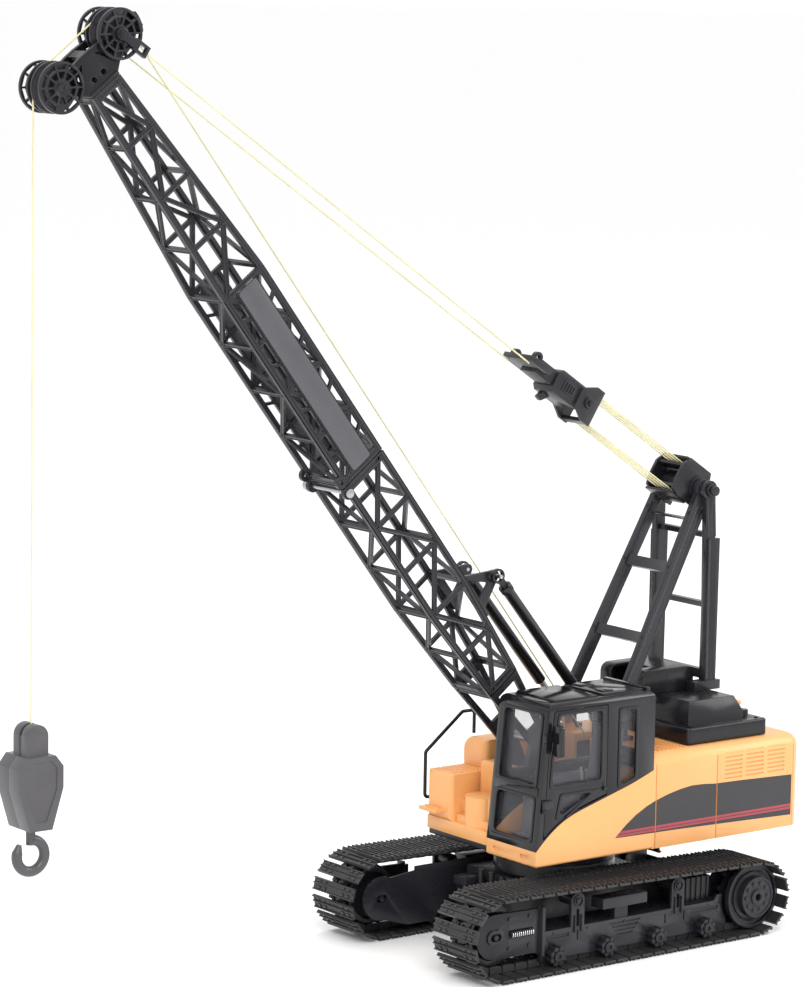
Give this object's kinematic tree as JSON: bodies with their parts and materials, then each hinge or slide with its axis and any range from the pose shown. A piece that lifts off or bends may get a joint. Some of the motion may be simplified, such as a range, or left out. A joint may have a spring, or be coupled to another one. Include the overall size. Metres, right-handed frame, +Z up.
{
  "type": "toy crawler crane",
  "caption": "Toy crawler crane with a tiltable lattice boom, rear gantry, rope-hung hook block, slewing body with an opening cab door, and tracks on turning rollers.",
  "frame": {"origin": "on the ground under the slewing axis, midway between the tracks", "axes": "+X forward, the way the boom leans; +Y towards the operator's left, where the cab is; +Z up"},
  "size_m": [0.6385, 0.19, 0.6665],
  "materials": {
    "track_black": "rough moulded black plastic",
    "frame_black": "semi-gloss black plastic",
    "spring_steel": "bright coiled wire",
    "body_orange": "satin orange-yellow plastic",
    "hood_black": "satin black plastic",
    "cab_black": "glossy black plastic",
    "window_clear": "clear smoke-tinted plastic",
    "seat_grey": "matte grey plastic",
    "boom_grey": "satin slate-grey plastic",
    "panel_grey": "satin grey plastic",
    "pin_steel": "plain turned steel",
    "sheave_black": "matte black plastic",
    "strut_black": "glossy black plastic",
    "rope_cream": "pale yellow braided cord",
    "hook_grey": "satin mid-grey plastic",
    "drum_grey": "plain grey plastic",
    "battery_wrap": "blue shrink wrap",
    "board_green": "green circuit board"
  },
  "bodies": {
    "undercarriage": {"car_body": "frame_black", "track_frame_left": "frame_black", "track_frame_right": "frame_black", "track_left": "track_black", "track_right": "track_black", "tension_springs": "spring_steel", "track_motors": "hood_black", "slew_ring": "frame_black"},
    "upper": {"deck": "frame_black", "body_shell": "body_orange", "engine_hood": "hood_black", "front_platform": "body_orange", "handrail": "hood_black", "cab_shell": "cab_black", "cab_windows": "window_clear", "cab_fittings": "hood_black", "seat": "seat_grey", "gantry_front_legs": "boom_grey", "gantry_rear_posts": "boom_grey", "winch_cover": "hood_black", "battery_pack": "battery_wrap", "circuit_board": "board_green", "slew_motor": "pin_steel"},
    "door": {"cab_door": "cab_black", "door_glass": "window_clear"},
    "boom": {"boom_lower": "boom_grey", "boom_upper": "boom_grey", "boom_panels": "panel_grey", "boom_head": "hood_black", "boom_pins": "pin_steel", "hoist_rope_back": "rope_cream"},
    "suspension": {"bridle": "sheave_black", "pendants": "rope_cream"},
    "luffing_ropes": {"luffing_rope": "rope_cream"},
    "strut_rods": {"backstop_rods": "pin_steel"},
    "strut_barrels": {"backstop_barrels": "strut_black"},
    "hoist_fall": {"hoist_rope_fall": "rope_cream"},
    "gantry_head": {"gantry_head": "boom_grey"},
    "hoist_drum": {"hoist_drum": "drum_grey"},
    "luffing_drum": {"luffing_drum": "drum_grey"},
    "upper_sheaves": {"upper_sheaves": "sheave_black"},
    "front_sheaves": {"front_sheaves": "sheave_black"},
    "hook_block": {"hook_block": "hook_grey"},
    "hook": {"hook": "hook_grey"},
    "idler_left": {"idler_left": "frame_black"},
    "sprocket_left": {"sprocket_left": "frame_black"},
    "road_wheel_left_1": {"road_wheel_left_1": "frame_black"},
    "road_wheel_left_2": {"road_wheel_left_2": "frame_black"},
    "road_wheel_left_3": {"road_wheel_left_3": "frame_black"},
    "road_wheel_left_4": {"road_wheel_left_4": "frame_black"},
    "carrier_left_1": {"carrier_left_1": "frame_black"},
    "carrier_left_2": {"carrier_left_2": "frame_black"},
    "idler_right": {"idler_right": "frame_black"},
    "sprocket_right": {"sprocket_right": "frame_black"},
    "road_wheel_right_1": {"road_wheel_right_1": "frame_black"},
    "road_wheel_right_2": {"road_wheel_right_2": "frame_black"},
    "road_wheel_right_3": {"road_wheel_right_3": "frame_black"},
    "road_wheel_right_4": {"road_wheel_right_4": "frame_black"},
    "carrier_right_1": {"carrier_right_1": "frame_black"},
    "carrier_right_2": {"carrier_right_2": "frame_black"}
  },
  "joints": [
    {"name": "slew", "type": "hinge", "parent": "undercarriage", "child": "upper", "pos_m": [0, 0, 0.07], "axis": [0, 0, 1], "continuous": true},
    {"name": "cab_door_hinge", "type": "hinge", "parent": "upper", "child": "door", "pos_m": [0.0668, 0.0673, 0.14], "axis": [0, 0, -1], "range_deg": [0, 75]},
    {"name": "luff", "type": "hinge", "parent": "upper", "child": "boom", "pos_m": [0.0208, -0.014, 0.1449], "axis": [0, -1, 0], "range_deg": [-12, 14]},
    {"name": "gantry_head_swivel", "type": "hinge", "parent": "upper", "child": "gantry_head", "pos_m": [-0.128, -0.014, 0.318], "axis": [0, -1, 0], "range_deg": [-12, 14]},
    {"name": "suspension_pivot", "type": "hinge", "parent": "boom", "child": "suspension", "pos_m": [0.37952, -0.014, 0.64952], "axis": [0, -1, 0], "range_deg": [-1, 1]},
    {"name": "luffing_reeve", "type": "slide", "parent": "suspension", "child": "luffing_ropes", "axis": [0.8372, 0, 0.5469], "range_m": [-0.049, 0.057], "deforming": ["luffing_rope"]},
    {"name": "strut_pivot", "type": "hinge", "parent": "upper", "child": "strut_rods", "pos_m": [-0.037, -0.014, 0.149], "axis": [0, -1, 0], "range_deg": [-10, 12]},
    {"name": "strut_slide", "type": "slide", "parent": "strut_rods", "child": "strut_barrels", "axis": [0.6409, 0, 0.7676], "range_m": [-0.012, 0.011]},
    {"name": "upper_sheave_spin", "type": "hinge", "parent": "boom", "child": "upper_sheaves", "pos_m": [0.37952, -0.014, 0.64952], "axis": [0, 1, 0], "continuous": true},
    {"name": "front_sheave_spin", "type": "hinge", "parent": "boom", "child": "front_sheaves", "pos_m": [0.42365, -0.014, 0.61505], "axis": [0, 1, 0], "continuous": true},
    {"name": "fall_pivot", "type": "hinge", "parent": "boom", "child": "hoist_fall", "pos_m": [0.42365, -0.014, 0.61505], "axis": [0, -1, 0], "range_deg": [-15, 13]},
    {"name": "hoist", "type": "slide", "parent": "hoist_fall", "child": "hook_block", "axis": [0, 0, 1], "range_m": [0, 0.33], "deforming": ["hoist_rope_fall"]},
    {"name": "hook_swivel", "type": "hinge", "parent": "hook_block", "child": "hook", "pos_m": [0.43745, -0.014, 0.13], "axis": [0, 0, 1], "continuous": true},
    {"name": "hoist_drum_spin", "type": "hinge", "parent": "upper", "child": "hoist_drum", "pos_m": [-0.053, -0.014, 0.107], "axis": [0, 1, 0], "range_deg": [0, 2210]},
    {"name": "luffing_drum_spin", "type": "hinge", "parent": "upper", "child": "luffing_drum", "pos_m": [-0.096, -0.014, 0.118], "axis": [0, 1, 0], "continuous": true},
    {"name": "idler_left_spin", "type": "hinge", "parent": "undercarriage", "child": "idler_left", "pos_m": [0.11895, 0.071, 0.0305], "axis": [0, 1, 0], "continuous": true},
    {"name": "sprocket_left_spin", "type": "hinge", "parent": "undercarriage", "child": "sprocket_left", "pos_m": [-0.119, 0.071, 0.028], "axis": [0, 1, 0], "continuous": true},
    {"name": "road_wheel_left_1_spin", "type": "hinge", "parent": "undercarriage", "child": "road_wheel_left_1", "pos_m": [0.0666, 0.071, 0.0105], "axis": [0, 1, 0], "continuous": true},
    {"name": "road_wheel_left_2_spin", "type": "hinge", "parent": "undercarriage", "child": "road_wheel_left_2", "pos_m": [0.02, 0.071, 0.0105], "axis": [0, 1, 0], "continuous": true},
    {"name": "road_wheel_left_3_spin", "type": "hinge", "parent": "undercarriage", "child": "road_wheel_left_3", "pos_m": [-0.027, 0.071, 0.0105], "axis": [0, 1, 0], "continuous": true},
    {"name": "road_wheel_left_4_spin", "type": "hinge", "parent": "undercarriage", "child": "road_wheel_left_4", "pos_m": [-0.0736, 0.071, 0.0105], "axis": [0, 1, 0], "continuous": true},
    {"name": "carrier_left_1_spin", "type": "hinge", "parent": "undercarriage", "child": "carrier_left_1", "pos_m": [0.044, 0.071, 0.04612], "axis": [0, 1, 0], "continuous": true},
    {"name": "carrier_left_2_spin", "type": "hinge", "parent": "undercarriage", "child": "carrier_left_2", "pos_m": [-0.05, 0.071, 0.04415], "axis": [0, 1, 0], "continuous": true},
    {"name": "idler_right_spin", "type": "hinge", "parent": "undercarriage", "child": "idler_right", "pos_m": [0.11895, -0.071, 0.0305], "axis": [0, 1, 0], "continuous": true},
    {"name": "sprocket_right_spin", "type": "hinge", "parent": "undercarriage", "child": "sprocket_right", "pos_m": [-0.119, -0.071, 0.028], "axis": [0, 1, 0], "continuous": true},
    {"name": "road_wheel_right_1_spin", "type": "hinge", "parent": "undercarriage", "child": "road_wheel_right_1", "pos_m": [0.0666, -0.071, 0.0105], "axis": [0, 1, 0], "continuous": true},
    {"name": "road_wheel_right_2_spin", "type": "hinge", "parent": "undercarriage", "child": "road_wheel_right_2", "pos_m": [0.02, -0.071, 0.0105], "axis": [0, 1, 0], "continuous": true},
    {"name": "road_wheel_right_3_spin", "type": "hinge", "parent": "undercarriage", "child": "road_wheel_right_3", "pos_m": [-0.027, -0.071, 0.0105], "axis": [0, 1, 0], "continuous": true},
    {"name": "road_wheel_right_4_spin", "type": "hinge", "parent": "undercarriage", "child": "road_wheel_right_4", "pos_m": [-0.0736, -0.071, 0.0105], "axis": [0, 1, 0], "continuous": true},
    {"name": "carrier_right_1_spin", "type": "hinge", "parent": "undercarriage", "child": "carrier_right_1", "pos_m": [0.044, -0.071, 0.04612], "axis": [0, 1, 0], "continuous": true},
    {"name": "carrier_right_2_spin", "type": "hinge", "parent": "undercarriage", "child": "carrier_right_2", "pos_m": [-0.05, -0.071, 0.04415], "axis": [0, 1, 0], "continuous": true}
  ],
  "couplings": [
    {"joint": "gantry_head_swivel", "follows": "luff", "ratio": 0.96},
    {"joint": "suspension_pivot", "follows": "luff", "ratio": -0.04},
    {"joint": "luffing_reeve", "follows": "luff", "m_per_rad": 0.2253},
    {"joint": "strut_pivot", "follows": "luff", "ratio": 0.7886},
    {"joint": "strut_slide", "follows": "luff", "m_per_rad": -0.0473},
    {"joint": "fall_pivot", "follows": "luff", "ratio": -1},
    {"joint": "hoist_drum_spin", "follows": "hoist", "rad_per_m": 116.28}
  ]
}
